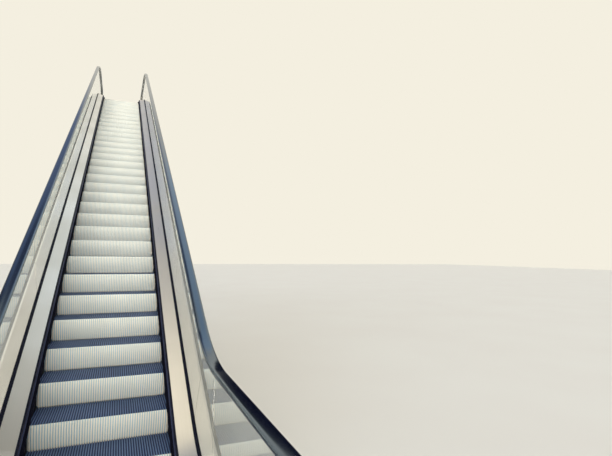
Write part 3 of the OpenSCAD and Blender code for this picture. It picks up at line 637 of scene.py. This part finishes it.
def modelCombRow(name):
    # the segments part half way between two teeth
    half = step["width"] / 2
    joints = [(j * teethPerSegment + 0.5) * cleatPitch - half for j in range(1, comb["segments"])]
    ends = [-comb["halfWidth"]] + joints + [comb["halfWidth"]]
    parts = []
    for x0, x1 in zip(ends, ends[1:]):
        body = startBlock("combBody",
                          (x1 - x0 - comb["gap"], comb["body"], comb["tall"] - comb["seat"]),
                          ((x0 + x1) / 2, comb["body"] / 2, (comb["tall"] + comb["seat"]) / 2))
        editParts(body, lambda e: all(v.co.y > comb["body"] - tolerance
                                      and v.co.z > comb["tall"] / 2 for v in e.verts), "EDGE")
        bpy.ops.mesh.bevel(offset=comb["slopeDrop"], segments=3)
        endEdit()
        editParts(body, lambda e: all(v.co.z > comb["tall"] - tolerance for v in e.verts)
                  and abs(e.verts[0].co.x - e.verts[1].co.x) < tolerance, "EDGE")
        bpy.ops.mesh.bevel(offset=comb["edgeBevel"], segments=1)
        endEdit()
        parts.append(body)
        for share in comb["screwPlaces"]:
            parts.append(modelScrew(x0 + share * (x1 - x0), comb["screwBack"]))
    teeth = modelTooth()
    movePiece(teeth, (-half + cleatPitch, 0, 0))
    repeatPiece(teeth, step["cleats"] - 1, (cleatPitch, 0, 0))
    parts.append(teeth)
    for part in parts:
        if not part.data.materials:
            part.data.materials.append(looks["combAluminium"])
    return joinPieces(parts, name)


lowCombs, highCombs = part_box("lower_combs"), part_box("upper_combs")
lowRow = modelCombRow("toothed_lower_combs")
highRow = copyPiece(lowRow, "toothed_upper_combs", (0, 0, 0))
movePiece(lowRow, (0, lowCombs[1][1] - comb["length"], lowCombs[1][2] - comb["tall"]))
highRow.data.transform(Matrix.Rotation(math.pi, 4, "Z"))
movePiece(highRow, (0, highCombs[0][1] + comb["length"], highCombs[1][2] - comb["tall"]))
finishPiece(lowRow, "comb", "lower_combs")
finishPiece(highRow, "comb", "upper_combs")

# Ribs on the floor plates and the comb plates, as on a rolled aluminium landing.
# They stand 12 mm apart, wider than the real 6 mm so that they show
print("floor plates")
rib = {"pitch": 0.012, "wide": 0.005, "top": 0.6, "ends": 0.97, "tall": 0.0012, "margin": 0.014,
       "plates": 3, "plateEdge": 0.064, "capSides": 32, "capRadius": 0.012, "capTall": 0.0018,
       "capRim": 0.006, "capDish": 0.00108}


def modelRibs(x1, y0, y1, z):
    half = x1 - rib["margin"]
    count = int(2 * half / rib["pitch"])
    bar = startBlock("rib", (rib["wide"], y1 - y0 - 2 * rib["margin"], rib["tall"]),
                     (-(count - 1) * rib["pitch"] / 2, (y0 + y1) / 2, z + rib["tall"] / 2))
    editParts(bar, looksUp)
    bpy.ops.transform.resize(value=(rib["top"], rib["ends"], 1))
    endEdit()
    repeatPiece(bar, count, (rib["pitch"], 0, 0))
    bar.data.materials.append(looks["plateAluminium"])
    return bar


def modelLiftCap(x, y, z):
    # a turned cap over the hole for the lifting eye
    cap = startPiece(bpy.ops.mesh.primitive_cylinder_add, "liftCap", vertices=rib["capSides"],
                     radius=rib["capRadius"], depth=rib["capTall"],
                     location=(x, y, z + rib["capTall"] / 2))
    editParts(cap, looksUp)
    bpy.ops.mesh.inset(thickness=rib["capRim"], depth=0)
    extrudeBy(0, 0, -rib["capDish"])
    endEdit()
    cap.data.materials.append(looks["cheekAluminium"])
    return cap


for landing in ("lower", "upper"):
    low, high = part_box(landing + "_floor_plates")
    combLow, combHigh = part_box(landing + "_comb_plate")
    parts = [modelRibs(combHigh[0], combLow[1], combHigh[1], combHigh[2])]
    length = (high[1] - low[1]) / rib["plates"]
    for i in range(rib["plates"]):
        parts.append(modelRibs(high[0], low[1] + i * length, low[1] + (i + 1) * length, high[2]))
        for side in (-1, 1):
            parts.append(modelLiftCap(side * (high[0] - rib["plateEdge"]) / 2,
                                      low[1] + (i + 0.5) * length, high[2]))
    finishPiece(joinPieces(parts, "plate_ribs_" + landing), "floor_plate")

# The handrails: a rubber channel swept round both newels and up the incline. Its lower bend is
# wider than the one that the steps run through, and the guide and the glass under it follow
print("handrails")
rail = {"middle": 0.6543, "width": 0.080, "depth": 0.034, "crown": 0.0016, "mouth": 0.038,
        "wall": 0.009, "height": 0.900, "newelY": 1.2833, "upperNewelY": 15.7591,
        "newelRadius": 0.380, "intoBase": 0.190, "wideBend": 1.25, "sides": 40,
        "newelSteps": 36, "bendSteps": 14, "slice": 0.03, "glassFoot": 0.05, "weld": 0.00001}
quarter = math.tan(path["incline"] / 2)
railTop = path["lowTread"] + rail["height"]
bendCorner = path["bendStart"] + (path["bend"] - rail["height"]) * quarter
bendFrom = bendCorner - rail["wideBend"] * quarter


def bendHeight(y, radius):
    # height of the line of the handrail's top at y, when its lower bend has this radius
    run = y - bendCorner + radius * quarter
    if run <= 0:
        return railTop
    if run >= radius * math.sin(path["incline"]):
        return railTop + (y - bendCorner) * math.tan(path["incline"])
    return railTop + radius - math.sqrt(radius ** 2 - run ** 2)


def modelHandrail(side, name):
    x, start = side * rail["middle"], rail["newelY"] + rail["intoBase"]
    halfDeep = (rail["depth"] - rail["crown"]) / 2
    halfFlat = rail["width"] / 2 - halfDeep
    low = railTop - 2 * rail["newelRadius"]
    middle = low + rail["crown"] + halfDeep
    band = startPiece(bpy.ops.mesh.primitive_circle_add, name, vertices=rail["sides"],
                      radius=halfDeep, rotation=(math.pi / 2, 0, 0), location=(x, start, middle))
    for way in (-1, 1):
        nudgePoints(band, lambda v: way * (v.co.x - x) > tolerance, (way * halfFlat, 0, 0))
    nudgePoints(band, lambda v: abs(v.co.x - x) < tolerance and v.co.z < middle,
                (0, 0, -rail["crown"]))
    # open the mouth and turn its two lips in
    editParts(band, lambda v: abs(v.co.x - x) < tolerance and v.co.z > middle, "VERT")
    bpy.ops.mesh.delete(type="VERT")
    endEdit()
    for way in (-1, 1):
        editParts(band, lambda v: 0 < way * (v.co.x - x) < halfFlat + tolerance
                  and v.co.z > middle + halfDeep - tolerance, "VERT")
        extrudeBy(-way * (halfFlat - rail["mouth"] / 2), 0, 0)
        endEdit()
    # sweep it: base, newel, level, wide bend, incline, upper bend, level, newel, base
    turn, r = path["incline"], rail["wideBend"]
    arc = path["bend"] * turn
    yC = pathPoint(arc + path["straight"])[0]
    yD, zD = pathPoint(2 * arc + path["straight"])
    upY = yC - rail["height"] * math.sin(turn)
    bendEnd = bendFrom + r * math.sin(turn)
    slope = (upY - bendEnd) / math.cos(turn)
    editParts(band, lambda e: True, "EDGE")
    for move in (("run", (0, -rail["intoBase"], 0)),
                 ("turn", math.pi, rail["newelSteps"],
                  (x, rail["newelY"], railTop - rail["newelRadius"])),
                 ("run", (0, bendFrom - rail["newelY"], 0)),
                 ("turn", -turn, rail["bendSteps"], (x, bendFrom, railTop + r)),
                 ("run", (0, slope * math.cos(turn), slope * math.sin(turn))),
                 ("turn", turn, rail["bendSteps"], (x, yD, zD - path["bend"])),
                 ("run", (0, rail["upperNewelY"] - yD, 0)),
                 ("turn", math.pi, rail["newelSteps"],
                  (x, rail["upperNewelY"], zD + rail["height"] - rail["newelRadius"])),
                 ("run", (0, -rail["intoBase"], 0))):
        if move[0] == "run":
            extrudeBy(*move[1])
        else:
            spinAcross(*move[1:])
    endEdit()
    turnOut(band)
    top = max(band.data.polygons, key=lambda f: f.center.z)
    if top.normal.z < 0:
        band.data.flip_normals()
    addModifier(band, "SOLIDIFY", thickness=rail["wall"], offset=-1, use_even_offset=True)
    band.data.materials.append(looks["railRubber"])
    finishPiece(band, "handrail", name.replace("swept_", ""))


def easeBend(nodeName, name, slotName):
    # a copy of a CAD piece under the handrail, sliced and lifted to the wider bend
    piece = bpy.data.objects.new(name, nodes[nodeName].data.copy())
    bpy.context.scene.collection.objects.link(piece)
    bpy.context.view_layer.objects.active = piece
    if piece.data.has_custom_normals:
        bpy.ops.mesh.customdata_custom_splitnormals_clear()
    editParts(piece, lambda v: True, "VERT")
    bpy.ops.mesh.remove_doubles(threshold=rail["weld"])
    reach = 2 * rail["wideBend"] * quarter
    for i in range(int(reach / rail["slice"]) + 1):
        bpy.ops.mesh.select_all(action="SELECT")
        bpy.ops.mesh.bisect(plane_co=(0, bendFrom + i * rail["slice"], 0), plane_no=(0, 1, 0))
    endEdit()
    lifted = rail["height"] - rail["glassFoot"]
    for v in piece.data.vertices:
        old = bendHeight(v.co.y, path["bend"] - rail["height"])
        share = max(0, min(1, (v.co.z - old + lifted) / lifted))
        v.co.z += share * (bendHeight(v.co.y, rail["wideBend"]) - old)
    finishPiece(piece, slotName, nodeName)


for side, word in ((-1, "left"), (1, "right")):
    modelHandrail(side, "swept_handrail_" + word)
    easeBend("handrail_guide_" + word, "eased_rail_guide_" + word, "rail_guide")
    easeBend("glass_" + word, "eased_glass_" + word, "glass")

print("done")
